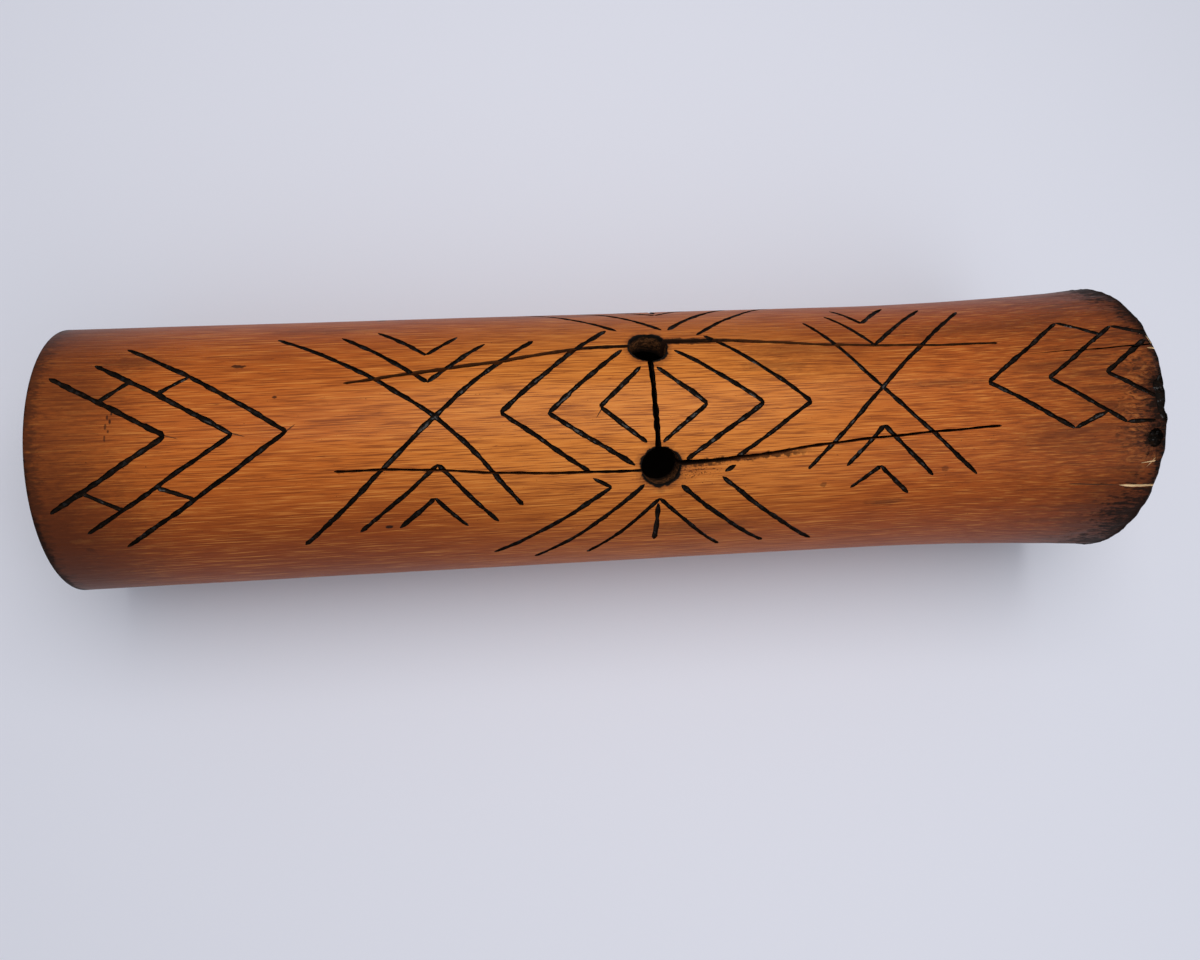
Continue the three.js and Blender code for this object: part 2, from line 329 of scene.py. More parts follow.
# %% Bamboo skin
STAINS = [  # x, arc, half length, half width in millimetres, and strength
    (-192, 27.5, 9, 3.5, 0.55),
    (-207, 12, 14, 9, 0.35),
    (108, -48, 8, 1.4, 0.6),
    (132, 3, 17, 1.6, 0.45),
    (70, 22, 22, 3.5, 0.3),
    (86, 24, 34, 16, 0.22),
    (222, -54, 26, 17, 0.40),
    (-222, -48, 9, 18, 0.75),
    (-225, -66, 12, 14, 0.75),
    (-226, 45, 7, 14, 0.55),
    (60, 14, 12, 2.2, 0.35),
    (30, -57, 24, 3.5, 0.4),
    (-30, 60, 30, 4, 0.35),
    (150, 30, 30, 4.5, 0.4),
    (178, 8, 18, 2.0, 0.45),
    (185, -22, 24, 5, 0.35),
    (-120, 47, 20, 3, 0.35),
]
FLECKS = [  # the same for small dark flecks
    (-197, 3.4, 0.45, 0.7, 0.9),
    (-198.4, 2.2, 0.35, 0.9, 0.8),
    (-197.4, 0.4, 0.4, 0.8, 0.9),
    (-199.0, -1.6, 0.35, 1.2, 0.7),
    (-198.0, -3.4, 0.5, 0.7, 0.8),
    (-199.2, -6.2, 0.4, 1.4, 0.7),
    (-211, -52, 1.6, 1.1, 0.9),
    (-152, 23, 2.4, 0.9, 0.8),
    (-98, -48, 1.2, 0.8, 0.9),
    (-138, 8, 0.8, 0.6, 0.8),
    (79, -38, 1.4, 1.0, 0.45),
    (131, -33, 1.6, 1.1, 0.4),
    (-100, 62, 2.0, 2.0, 0.8),
    (-93, 63, 3.0, 1.0, 0.7),
]
SCORCHES = [  # x, arc, half length, half width in millimetres, of the burnt places at the node
    (230, 34, 9, 18),
    (230, 58, 15, 20),
    (234, -62, 22, 22),
    (238, -90, 28, 24),
    (230, -8, 8.5, 12),
    (225, -11.5, 6, 5),
    (225, -3, 5, 4.6),
    (222.3, -23, 4.6, 5.6),
]


def bamboo_skin():
    """The oiled and polished skin, with scorched rims and sooty holes."""
    skin = Finish("bamboo_skin", 0.36, coat=0.06, coat_roughness=0.2, specular=0.06)
    place, along, around, _ = skin.places()
    fibres = skin.noise(skin.stretched(place, 55, 2200), detail=3, roughness=0.55)
    threads = skin.noise(skin.stretched(place, 22, 900), detail=1)
    strands = skin.noise(skin.stretched(place, 12, 620), detail=3, roughness=0.6)
    clouds = skin.noise(skin.stretched(place, 6, 18), detail=2)
    blotches = skin.noise(skin.stretched(place, 30, 110), detail=4, roughness=0.6)
    ragged = skin.noise(skin.stretched(place, 260, 900), detail=3, roughness=0.65) - 0.5
    crumbs = skin.noise(skin.stretched(place, 420, 480), detail=3, roughness=0.6) - 0.5
    lumps = skin.noise(skin.stretched(place, 170, 190), detail=3, roughness=0.6) - 0.5

    middle = 1 - skin.smooth(abs(along + 2 * MM), 15 * MM, 150 * MM)
    # Painted shade: this mask darkens and reddens the flanks and keeps the top line more golden, partly the
    # bamboo's own colour and partly shade painted in.
    flank_tone_and_shade = skin.smooth(abs(around + 6 * MM), 12 * MM, 64 * MM)
    # Painted shade: the lower flank of the thin half is darkened further than the lamps shade it.
    painted_low_flank_shade = skin.smooth(around, -14 * MM, -60 * MM) * skin.smooth(along, 0, -130 * MM)
    red_end = skin.smooth(along, 50 * MM, 190 * MM)
    golden = skin.smooth(clouds * 0.35 + blotches * 0.2 + middle * 0.75 - flank_tone_and_shade * 0.45, 0.14, 1.05)
    thread = skin.smooth(abs(threads - 0.5), 0.016, 0.004) * skin.smooth(blotches, 0.42, 0.6)
    colour = skin.layers(
        skin.mix(golden, AMBER, GOLD),
        (flank_tone_and_shade * 0.60 + red_end * 0.30, RUSSET),
        (painted_low_flank_shade * 0.55, DEEP_RUSSET),
        (skin.smooth(blotches, 0.48, 0.72) * 0.18, RUSSET),
        (skin.smooth(strands, 0.50, 0.75) * 0.14, RUSSET),
        (skin.smooth(fibres, 0.48, 0.64) * 0.74, FIBRE),
        (skin.smooth(fibres, 0.47, 0.32) * 0.48, STRAW),
        (thread * 0.6, FIBRE),
    )

    for x, arc, long, wide, strength in STAINS:
        colour = skin.mix(skin.spot(x, arc, long, wide, 0.7, ragged * 2.4) * strength, colour, UMBER)
    for x, arc, long, wide, strength in FLECKS:
        colour = skin.mix(skin.spot(x, arc, long, wide, 0.3, crumbs * 2.2) * strength, colour, CHAR)

    rubbed = skin.spot(-213, -47.5, 3.5, 1.2, 0.4, crumbs * 2)
    thin_end = skin.smooth(along + ragged * (24 * MM), -HALF + 62 * MM, -HALF - 4 * MM)
    node_end = skin.smooth(along + ragged * (24 * MM), HALF - 95 * MM, HALF - 8 * MM)
    corner = skin.spot(-228, -56, 34, 44, 0.6, ragged)
    colour = skin.layers(
        colour,
        (rubbed * 0.3, STRAW),
        (thin_end * 0.72, UMBER),
        (node_end * (0.42 + skin.smooth(strands, 0.44, 0.6) * 0.45), UMBER),
        (corner * 0.62, UMBER),
    )

    burst = skin.burst([(225.5, -2), (222.5, -23)])
    curls = skin.noise(skin.stretched(place, 170, 520), detail=2, roughness=0.5, distortion=1.6)
    knot = skin.spot(221, -11, 13, 22, 0.6, crumbs * 1.4 + ragged * 1.2)
    wisps = skin.smooth(burst, 0.54, 0.64).over(skin.smooth(curls, 0.56, 0.66) * 0.7)
    creases = skin.smooth(burst, 0.48, 0.38).over(skin.smooth(curls, 0.50, 0.40))
    band_edge = along + ragged * (14 * MM) + crumbs * (8 * MM)
    thin_band = skin.smooth(band_edge, -HALF + 7 * MM, -HALF + 1 * MM)
    colour = skin.layers(
        colour,
        (knot * 0.45, KNOT_BROWN),
        (knot * wisps * 0.6, KNOT_WISP),
        (knot * creases * 0.85, KNOT_CREASE),
        (thin_band * 0.72, SINGED),
    )
    low_corner = skin.smooth(around, -22 * MM, -56 * MM) * (1.6 * MM)
    rim_side = -HALF + 1.8 * MM + low_corner
    fringe = skin.smooth(along + lumps * (7 * MM) + crumbs * (3 * MM), rim_side, rim_side - 2.6 * MM)
    soot = fringe * 0.8
    rim = skin.smooth(along + ragged * (10 * MM) + crumbs * (6 * MM), HALF - 6 * MM, HALF - 1 * MM)
    soot = soot.over(rim)
    streaks = (strands - 0.5) * 2.2 + ragged * 2.2 + crumbs
    for x, arc, long, wide in SCORCHES:
        scorch = skin.spot(x, arc, long, wide, 0.42, streaks)
        colour = skin.mix(skin.spot(x, arc, long * 1.5, wide * 1.3, 0.5, ragged) * 0.6, colour, UMBER)
        soot = soot.over(scorch * 0.9)
    for x, arc in HOLES:
        soot = soot.over(skin.spot(x, arc, 8.7, 8.7, 0.04, lumps * 0.42 + crumbs * 0.16))
        colour = skin.mix(skin.spot(x, arc, 10, 10, 0.15, lumps * 0.5 + crumbs * 0.5) * 0.4, colour, UMBER)
    from_far_slit = abs(around - 29.6 * MM + (along - 9.5 * MM) * 0.028) - 1.4 * MM
    far_soot = skin.smooth(from_far_slit + crumbs * (2.4 * MM), 0.9 * MM, 0.1 * MM)
    near_hole = skin.smooth(along, 12 * MM, 18 * MM) * skin.smooth(along, 50 * MM, 24 * MM)
    soot = soot.over(far_soot * near_hole * 0.85)
    under_slit = (along - 10.5 * MM) * 0.069 - around - 26.8 * MM
    smear = skin.smooth(abs(under_slit) + crumbs * (5 * MM), 1.7 * MM, 0.5 * MM)
    smear = smear * skin.smooth(abs(along - 42 * MM), 36 * MM, 20 * MM)
    grains = skin.noise(skin.stretched(place, 1100, 1500), detail=2)
    specks = skin.smooth(grains + skin.spot(20, -29.0, 17, 4.5, 0.95) * 0.17, 0.70, 0.80)
    soot = soot.over(smear * 0.8).over(specks * 0.7)
    colour = skin.mix(soot, colour, CHAR)

    relief = skin.bump(fibres, 0.6, 0.12 * MM)
    relief = skin.bump(strands, 0.3, 0.3 * MM, relief)
    relief = skin.bump(burst, knot, 1.5 * MM, relief)
    relief = skin.bump(crumbs, soot * 0.5, 0.6 * MM, relief)
    return skin.show(
        Base_Color=colour,
        Roughness=0.34 + fibres * 0.2 + soot * 0.2,
        Coat_Weight=0.08 - soot * 0.08,
        Normal=relief,
    )


skin_finish = bamboo_skin()
print("skin finish has", len(skin_finish.node_tree.nodes), "nodes")

# %% [markdown]
# ## Finishes of the cut surfaces
# Each tool leaves its own surface: char in the gouge cuts, sawn and bored wood through the wall, end grain
# with its dark fibre bundles at the rims, the pale dull bore, and fresh wood where the rim has chipped.


# %% Charred cuts
def charred():
    """Burnt wood: black and crusty, with a little brown left and glints of oil."""
    char = Finish("charred_cuts", 0.45, coat_roughness=0.22, specular=0.04)
    place, *_ = char.places()
    crust = char.noise(char.stretched(place, 900, 900), detail=4, roughness=0.7)
    streak = char.noise(char.stretched(place, 160, 700), detail=2)
    glints = char.noise(char.stretched(place, 420, 420), detail=2)
    return char.show(
        Base_Color=char.mix(char.smooth(streak, 0.45, 0.8), CHAR, BURNT_BROWN),
        Roughness=0.30 + crust * 0.35,
        Coat_Weight=char.smooth(glints, 0.52, 0.64) * 0.5,
        Normal=char.bump(crust, 0.9, 0.35 * MM),
    )


# %% Sawn and bored wood
def bored_wood():
    """The walls of the holes: charred black at the skin, brown with tool marks below, and black with painted
    shade deeper in.
    """
    wood = Finish("bored_wood", 0.7, specular=0.12)
    place, _, _, out = wood.places()
    marks = wood.noise(wood.stretched(place, 520, 1300), detail=3)
    lumps = wood.noise(wood.stretched(place, 300, 300), detail=2)
    edge = out + (marks - 0.5) * (3 * MM) + (lumps - 0.5) * (4 * MM)
    burnt = wood.smooth(edge, BODY_RADIUS - 2.6 * MM, BODY_RADIUS - 1.2 * MM)
    colour = wood.mix(wood.smooth(marks, 0.42, 0.62), (0.030, 0.012, 0.005), (0.15, 0.058, 0.020))
    # Painted shade: the hole walls turn black towards the bore, where shade falls.
    deep = wood.smooth(out, BODY_RADIUS - 5 * MM, BODY_RADIUS - WALL)
    colour = wood.mix(burnt.over(deep * 0.9), colour, CHAR)
    return wood.show(Base_Color=colour, Normal=wood.bump(marks, 0.6, 0.4 * MM))


def sawn_wood():
    """The walls of the slits: plain brown wood, darker towards the skin."""
    wood = Finish("sawn_wood", 0.65, specular=0.2)
    place, along, _, out = wood.places()
    fibres = wood.noise(wood.stretched(place, 90, 1200), detail=2)
    crumbs = wood.noise(wood.stretched(place, 500, 900), detail=2)
    colour = wood.mix(fibres, UMBER, (0.19, 0.066, 0.018))
    edge = wood.smooth(out, BODY_RADIUS - 1.2 * MM, BODY_RADIUS + 0.2 * MM)
    dark_near_holes = wood.smooth(abs(along - 10 * MM) + (crumbs - 0.5) * (60 * MM), 48 * MM, 18 * MM)
    colour = wood.mix((edge * 0.6).over(dark_near_holes * 0.85), colour, CHAR)
    return wood.show(Base_Color=colour, Normal=wood.bump(fibres, 0.5, 0.2 * MM))


# %% End grain, bore and fresh wood
def end_grain():
    """The sawn rims: pale ground with dark fibre bundles, packed closer towards the skin."""
    grain = Finish("end_grain", 0.75, specular=0.25)
    place, along, _, out = grain.places()
    away = grain.node("TexVoronoi", {"feature": "F1"}, {"Vector": place, "Scale": 900.0}, "Distance")
    depth = grain.smooth(out, BODY_RADIUS - WALL, BODY_RADIUS)
    bundles = grain.smooth(away, 0.30 + depth * 0.22, 0.12 + depth * 0.2)
    colour = grain.mix(bundles, TAN, (0.20, 0.09, 0.035))
    dirt = grain.noise(grain.stretched(place, 60, 60), detail=4)
    colour = grain.mix(grain.smooth(dirt, 0.35, 0.7) * 0.6, colour, (0.16, 0.075, 0.03))
    scorched = grain.smooth(out + (dirt - 0.5) * (4 * MM), BODY_RADIUS - 3 * MM, BODY_RADIUS)
    node_end = grain.smooth(along, 0, HALF)
    colour = grain.mix(scorched.over(node_end * 0.75), colour, CHAR)
    return grain.show(Base_Color=colour, Normal=grain.bump(bundles, 0.4, 0.15 * MM))


def bore_wood():
    """The culm's inner wall and partition: dull and streaked, black with painted shade below the holes, and
    darker with painted shade towards the edge of the partition's outer face.
    """
    wood = Finish("bore_wood", 0.8, specular=0.2)
    place, along, _, out = wood.places()
    streaks = wood.noise(wood.stretched(place, 12, 240), detail=3)
    stains = wood.noise(wood.stretched(place, 9, 25), detail=3)
    colour = wood.mix(streaks, (0.30, 0.17, 0.075), TAN)
    colour = wood.mix(wood.smooth(stains, 0.45, 0.8) * 0.6, colour, (0.15, 0.07, 0.03))
    # Painted shade: the bore goes black below the holes, where shade falls inside the tube.
    dark_near_holes = wood.smooth(abs(along - 10 * MM) + stains * (30 * MM), 110 * MM, 30 * MM)
    colour = wood.mix(dark_near_holes * 0.96, colour, CHAR)
    # Painted shade: the partition's outer face darkens towards the corner of its recess.
    outer_face = wood.smooth(along, 215 * MM, 217 * MM)
    painted_corner_shade = wood.smooth(out + (stains - 0.5) * (26 * MM), 22 * MM, 45 * MM) * outer_face
    colour = wood.mix(painted_corner_shade * 0.8, colour, (0.060, 0.026, 0.011))
    rings = wood.noise(wood.node("CombineXYZ", {}, {0: out * 420}), detail=2)
    relief = wood.bump(streaks, 0.4, 0.3 * MM, wood.bump(rings, 0.5, 0.5 * MM))
    return wood.show(Base_Color=colour, Normal=relief)


def fresh_wood():
    """Pale splintered wood where the scorched skin has chipped off."""
    wood = Finish("fresh_wood", 0.7)
    place, *_ = wood.places()
    fibres = wood.noise(wood.stretched(place, 120, 1400), detail=3)
    colour = wood.mix(wood.smooth(fibres, 0.35, 0.6), (0.42, 0.25, 0.11), FRESH_WOOD)
    return wood.show(Base_Color=colour, Normal=wood.bump(fibres, 0.6, 0.2 * MM))


FINISHES = {
    "skin": skin_finish,
    "char": charred(),
    "bored": bored_wood(),
    "sawn": sawn_wood(),
    "end_grain": end_grain(),
    "bore": bore_wood(),
    "fresh": fresh_wood(),
}
SLOTS = {name: index for index, name in enumerate(FINISHES)}
print("finishes:", ", ".join(FINISHES))

# %% [markdown]
# ## The culm
# The bare culm is a turned shape, so its profile is drawn once, as a chain of short edges, and spun about
# the axis. The profile starts on the axis inside the partition, follows the bore out to the thin rim, comes
# back along the skin, turns over the node's rim, and ends on the axis on the partition's outer face.

# %% Small helpers for modelling
SAME_POINT = 1e-6  # points closer than this are one point


def only(piece):
    """Selects one object alone and makes it active."""
    for other in bpy.context.selected_objects:
        other.select_set(False)
    piece.select_set(True)
    bpy.context.view_layer.objects.active = piece
    return piece


def edit(piece):
    """Goes into edit mode with everything selected."""
    only(piece)
    bpy.ops.object.mode_set(mode="EDIT")
    bpy.ops.mesh.select_all(action="SELECT")


def leave_edit():
    bpy.ops.object.mode_set(mode="OBJECT")


def edit_with(piece, kind, chosen):
    """Goes into edit mode with some points, edges or faces selected, from an array of flags."""
    only(piece)
    kinds = {"VERT": piece.data.vertices, "EDGE": piece.data.edges, "FACE": piece.data.polygons}
    bpy.context.tool_settings.mesh_select_mode = [name == kind for name in kinds]
    for name, parts in kinds.items():
        flags = chosen if name == kind else np.zeros(len(parts))
        parts.foreach_set("select", flags.astype(bool))
    bpy.ops.object.mode_set(mode="EDIT")


def add_finishes(piece):
    """Gives a piece all the finishes, so that their slots are the same on every piece."""
    for finish in FINISHES.values():
        piece.data.materials.append(finish)


def finish_all(piece, name):
    """Puts one finish on every face."""
    for face in piece.data.polygons:
        face.material_index = SLOTS[name]


def coordinates(piece):
    """The piece's points as an array with a row for each."""
    flat = np.empty(len(piece.data.vertices) * 3, np.float32)
    piece.data.vertices.foreach_get("co", flat)
    return flat.reshape(-1, 3).astype(float)


def move_points(piece, places):
    piece.data.vertices.foreach_set("co", places.astype(np.float32).ravel())
    piece.data.update()


def apply_modifiers(piece):
    only(piece)
    for name in [modifier.name for modifier in piece.modifiers]:
        bpy.ops.object.modifier_apply(modifier=name)


# %% Profile of the culm
SKIN_STEP = 3 * MM
NODE_STEP = 1.6 * MM
DISC_START, DISC_THICKNESS, DISC_FILLET, DISC_DOME = 212 * MM, 5 * MM, 5 * MM, 2 * MM
ROUND_STEPS = 5


def arc_points(x, radius, size, start, end):
    """Part of a circle round (x, radius), between two angles in degrees."""
    angles = np.radians(np.linspace(start, end, ROUND_STEPS + 1))
    return [(x + size * math.cos(a), radius + size * math.sin(a)) for a in angles]


def culm_profile():
    """The closed profile as (x, radius), from the axis to the axis."""
    bore_at_node, bore_at_thin = BODY_RADIUS - WALL, THIN_END_RADIUS - WALL
    rim_bore, back = NODE_RADIUS - NODE_WALL, DISC_START + DISC_THICKNESS
    bore_steps = np.linspace(DISC_START - DISC_FILLET, -HALF, 12)[1:]
    bore_slope = (bore_at_thin - bore_at_node) / (-HALF - DISC_START + DISC_FILLET)
    fine = np.arange(190 * MM, HALF - NODE_RIM_ROUND, NODE_STEP)
    stations = [*np.arange(-HALF + SKIN_STEP, 190 * MM, SKIN_STEP), *fine]
    return [
        (DISC_START + DISC_DOME, 0),
        *arc_points(DISC_START - DISC_FILLET, bore_at_node - DISC_FILLET, DISC_FILLET, 0, 90),
        *[(x, bore_at_node + bore_slope * (x - DISC_START + DISC_FILLET)) for x in bore_steps],
        *arc_points(-HALF + THIN_RIM_ROUND, THIN_END_RADIUS - THIN_RIM_ROUND, THIN_RIM_ROUND, 180, 90),
        *[(x, skin_radius(x)) for x in stations],
        *arc_points(HALF - NODE_RIM_ROUND, NODE_RADIUS - NODE_RIM_ROUND, NODE_RIM_ROUND, 90, 0),
        (HALF, rim_bore),
        *arc_points(back + DISC_FILLET, rim_bore - DISC_FILLET, DISC_FILLET, 90, 180),
        (back + DISC_DOME, 0),
    ]


profile = culm_profile()
print("the profile has", len(profile), "points")

# %% Spin the profile
SIDES = 240


def turned(name, points):
    """Draws the points as a chain of edges and spins it about X into a closed solid."""
    bpy.ops.mesh.primitive_plane_add(size=MM, location=(points[0][0], 0, points[0][1]))
    piece = bpy.context.object
    piece.name = name
    bpy.ops.object.transform_apply(location=True, rotation=False, scale=False)
    edit(piece)
    bpy.ops.mesh.merge(type="CENTER")
    for (x, radius), (next_x, next_radius) in zip(points, points[1:]):
        step = (next_x - x, 0, next_radius - radius)
        bpy.ops.mesh.extrude_region_move(TRANSFORM_OT_translate={"value": step})
    bpy.ops.mesh.select_all(action="SELECT")
    bpy.ops.mesh.spin(steps=SIDES, angle=math.tau, center=(0, 0, 0), axis=(1, 0, 0))
    bpy.ops.mesh.select_all(action="SELECT")
    bpy.ops.mesh.remove_doubles(threshold=SAME_POINT)
    bpy.ops.mesh.normals_make_consistent(inside=False)
    leave_edit()
    return piece


drum = turned("bamboo_drum", profile)
add_finishes(drum)
print("spun culm:", len(drum.data.polygons), "faces")

# %% [markdown]
# A real culm is never quite true. Two displace modifiers, whose cloud textures are stretched by an empty,
# give it long shallow waves, and a rougher, lumpier surface on the last few centimetres before the node.


# %% Natural unevenness
def uneven(piece, name, stretch, strength, group=""):
    """Displaces the piece by a cloud texture whose grain is the size of stretch, in metres."""
    texture = bpy.data.textures.new(name, "CLOUDS")
    texture.noise_scale = 1.0
    texture.noise_depth = 2
    grain = bpy.data.objects.new(name + "_grain", None)
    grain.scale = stretch
    grain.location = (0.31, 0.17, 0.05)
    bpy.context.scene.collection.objects.link(grain)
    bpy.context.view_layer.update()
    displace = piece.modifiers.new(name, "DISPLACE")
    displace.texture = texture
    displace.texture_coords = "OBJECT"
    displace.texture_coords_object = grain
    displace.strength = strength
    displace.mid_level = 0.5
    displace.vertex_group = group
    apply_modifiers(piece)
    bpy.data.objects.remove(grain)
    bpy.data.textures.remove(texture)


def weigh(piece, name, weights):
    """Adds a vertex group from an array of weights."""
    group = piece.vertex_groups.new(name=name)
    for index in np.flatnonzero(weights > 0.01):
        group.add([int(index)], float(weights[index]), "REPLACE")


points = coordinates(drum)
reach = np.hypot(points[:, 1], points[:, 2])
on_skin = (reach > skin_radius(points[:, 0]) - 4 * MM) & (points[:, 0] > -HALF + 2 * MM)
near_node = np.clip((points[:, 0] - 192 * MM) / (30 * MM), 0, 1)
weigh(drum, "skin", on_skin * 1.0)
weigh(drum, "node", on_skin * near_node)
uneven(drum, "waves", (0.09, 0.035, 0.035), 0.5 * MM, "skin")
uneven(drum, "knots", (0.016, 0.008, 0.008), 1.5 * MM, "node")
print("unevenness applied to", int(on_skin.sum()), "points")

# %% [markdown]
# The faces of the bare culm take their finishes by where they look: the rims look along the axis, and
# the bore and partition lie inside. The skin keeps the first finish.

# %% Name the culm's surfaces
RIM_FACING = 0.75


def name_surfaces(piece):
    """Gives each face of the bare culm its finish."""
    for face in piece.data.polygons:
        centre = face.center
        out = math.hypot(centre.y, centre.z)
        outer = out > skin_radius(centre.x) - NODE_RIM_ROUND
        if outer and abs(face.normal.x) < RIM_FACING:
            continue
        at_end = abs(centre.x) > HALF - 1.5 * MM and out > BODY_RADIUS - WALL - 2 * MM
        face.material_index = SLOTS["end_grain" if at_end else "bore"]


name_surfaces(drum)
print("end grain and bore named")

# %% [markdown]
# ## Cutters
# Carving is marked out flat, as if the skin were unrolled: x runs along the culm and arc runs round it
# from the top line, both in millimetres. One long rough rod is modelled for the gouge and one plank for the
# saw. Each cut takes a copy of its own length from a different stretch of it, so no two cuts are alike, and
# lays it along its path and round the culm.

# %% The gouge's rod and the saw's plank
ROD_LENGTH = 170 * MM
ROD_RINGS = 130
GOUGE_WIDTH = 3.0 * MM
KERF, SAW_DEPTH = 1.2 * MM, WALL + 2 * MM
STAND_OUT = 1.5 * MM  # how far a cutter stands out of the skin
random.seed(23)


def cut_rings(piece, roughness, seed):
    """Cuts rings across a long solid, roughens it and gives it all the finishes."""
    bpy.ops.object.transform_apply(location=True, rotation=True, scale=True)
    points = coordinates(piece)
    ends = np.array([edge.vertices for edge in piece.data.edges])
    spans = np.abs(points[ends[:, 0], 0] - points[ends[:, 1], 0])
    edit_with(piece, "EDGE", spans > ROD_LENGTH / 2)
    bpy.ops.mesh.subdivide(number_cuts=ROD_RINGS)
    bpy.ops.mesh.select_all(action="SELECT")
    bpy.ops.transform.vertex_random(offset=roughness, seed=seed)
    leave_edit()
    add_finishes(piece)
    return piece


def gouge_rod():
    """A rough round rod along X: its lower half is the hollow that a gouge leaves."""
    turn = (0, math.pi / 2, 0)
    middle = (ROD_LENGTH / 2, 0, 0)
    bpy.ops.mesh.primitive_cylinder_add(
        vertices=12, radius=GOUGE_WIDTH / 2, depth=ROD_LENGTH, location=middle, rotation=turn
    )
    return cut_rings(bpy.context.object, 0.34 * MM, 3)


def saw_plank():
    """A thin plank along X that hangs from just above the skin to inside the bore."""
    middle = (ROD_LENGTH / 2, 0, (STAND_OUT - SAW_DEPTH) / 2)
    size = (ROD_LENGTH, KERF, STAND_OUT + SAW_DEPTH)
    bpy.ops.mesh.primitive_cube_add(size=1, location=middle, scale=size)
    return cut_rings(bpy.context.object, 0.07 * MM, 4)


tools = {"gouge": gouge_rod(), "saw": saw_plank()}
for name, tool in tools.items():
    tool.name = name
print("tools:", {name: len(tool.data.polygons) for name, tool in tools.items()})


# %% Lay a cut along its path and round the culm
TIP_SHARE = 0.2  # of its width that a cut starts and stops with
PATH_STEPS = 12


def smooth_path(marks):
    """A smooth line through the marks, in metres, as an array of points."""
    knots = [Vector((x * MM, arc * MM, 0)) for x, arc in marks]
    if len(knots) == 2:
        return np.array(knots)[:, :2]
    before, after = [knots[0], *knots[:-1]], [*knots[1:], knots[-1]]
    handles = [(b - a) / 6 for a, b in zip(before, after)]
    line = []
    for i in range(len(knots) - 1):
        ends = (knots[i], knots[i] + handles[i], knots[i + 1] - handles[i + 1], knots[i + 1])
        line += [tuple(point)[:2] for point in interpolate_bezier(*ends, PATH_STEPS)[:-1]]
    return np.array([*line, tuple(knots[-1])[:2]])


def on_culm(x, arc, height):
    """Places given by the unrolled skin, laid round the culm."""
    radius, angle = skin_radius(x) + height, arc / BODY_RADIUS
    return np.column_stack([x, radius * np.sin(angle), radius * np.cos(angle)])


def piece_of_tool(tool, length):
    """A copy of the tool's solid, cut to length, that starts at X = 0."""
    piece = tools[tool].copy()
    piece.data = tools[tool].data.copy()
    bpy.context.scene.collection.objects.link(piece)
    start = random.uniform(0.5 * MM, ROD_LENGTH - length - 0.5 * MM)
    edit(piece)
    for place, side in ((start, "clear_inner"), (start + length, "clear_outer")):
        bpy.ops.mesh.select_all(action="SELECT")
        plane = {"plane_co": (place, 0, 0), "plane_no": (1, 0, 0), side: True}
        bpy.ops.mesh.bisect(**plane, use_fill=True)
    leave_edit()
    points = coordinates(piece)
    points[:, 0] -= start
    return piece, points


def lay_cut(cut):
    """The solid that one cut removes."""
    path = smooth_path(cut["marks"])
    stops = np.concatenate([[0], np.cumsum(np.hypot(*np.diff(path, axis=0).T))])
    length = stops[-1]
    piece, points = piece_of_tool(cut["tool"], length)
    share = np.clip(points[:, 0], 0, length)
    phases = [random.uniform(0, math.tau) for _ in range(3)]
    sway = cut["sway"] * MM * np.sin(share / (6 * MM) + phases[0]) * np.sin(share / (14 * MM) + phases[1])
    fast, slow = np.sin(share / (1.1 * MM) + phases[2]), np.sin(share / (2.9 * MM) + phases[1])
    breathe = 1 + 0.11 * fast + 0.10 * slow
    leads = [max(lead * MM, 1e-5) for lead in cut["leads"]]
    ramp = np.minimum(share / leads[0], (length - share) / leads[1])
    taper = TIP_SHARE + (1 - TIP_SHARE) * np.clip(ramp, 0, 1) ** 0.6
    widths = np.interp(share, np.linspace(0, length, len(cut["widths"])), cut["widths"]) * MM
    sizes = {"gouge": (GOUGE_WIDTH, GOUGE_WIDTH / 2), "saw": (KERF, SAW_DEPTH)}
    tool_width, tool_depth = sizes[cut["tool"]]
    side = points[:, 1] * widths / tool_width * taper * breathe + sway
    sunk = points[:, 2] * cut["depth"] * MM / tool_depth * taper
    height = np.where(points[:, 2] < 0, sunk, points[:, 2])
    line = np.column_stack([np.interp(share, stops, path[:, i]) for i in (0, 1)])
    ahead = np.column_stack([np.interp(share, stops, np.gradient(path[:, i], stops)) for i in (0, 1)])
    ahead /= np.hypot(*ahead.T)[:, None]
    x, arc = line[:, 0] - ahead[:, 1] * side, line[:, 1] + ahead[:, 0] * side
    move_points(piece, on_culm(x, arc, height))
    finish_all(piece, cut["finish"])
    return piece


cuts = []


def cut(marks, tool="gouge", finish="char", width=1.95, depth=1.1, leads=(1.8, 0.9), sway=0.2):
    """Notes one cut, in millimetres. A saw cut may give a width for each of several places."""
    widths = width if isinstance(width, list) else [width * random.uniform(0.9, 1.12)]
    noted = {"marks": marks, "tool": tool, "finish": finish, "widths": widths}
    cuts.append({**noted, "depth": depth, "leads": leads, "sway": sway})


print("ready to lay cuts")

# %% [markdown]
# ## The carving
# Nearly all of it is one motif: arrows nested inside each other, each made of two arms from a tip. Small
# functions draw a nest of arrows, the ties between two arrows, and the short returns at their ends, and the
# lists give the few numbers that each nest needs.


# %% Nested arrows
def nest_of(x, arc, *arms):
    """Arrows inside each other: where their tips are, and the run and rise of each one's two arms."""
    return {"x": x, "arc": arc, "arms": arms}


def tip_of(nest, i):
    return nest["x"][i], nest["arc"][i]


def arm_end(nest, arm, i, share=1.0):
    run, rise = nest["arms"][arm]
    x, arc = tip_of(nest, i)
    return x + run[i] * share, arc + rise[i] * share


def carve_nest(nest, **style):
    for i in range(len(nest["x"])):
        for arm in range(len(nest["arms"])):
            cut([arm_end(nest, arm, i), tip_of(nest, i)], **style)


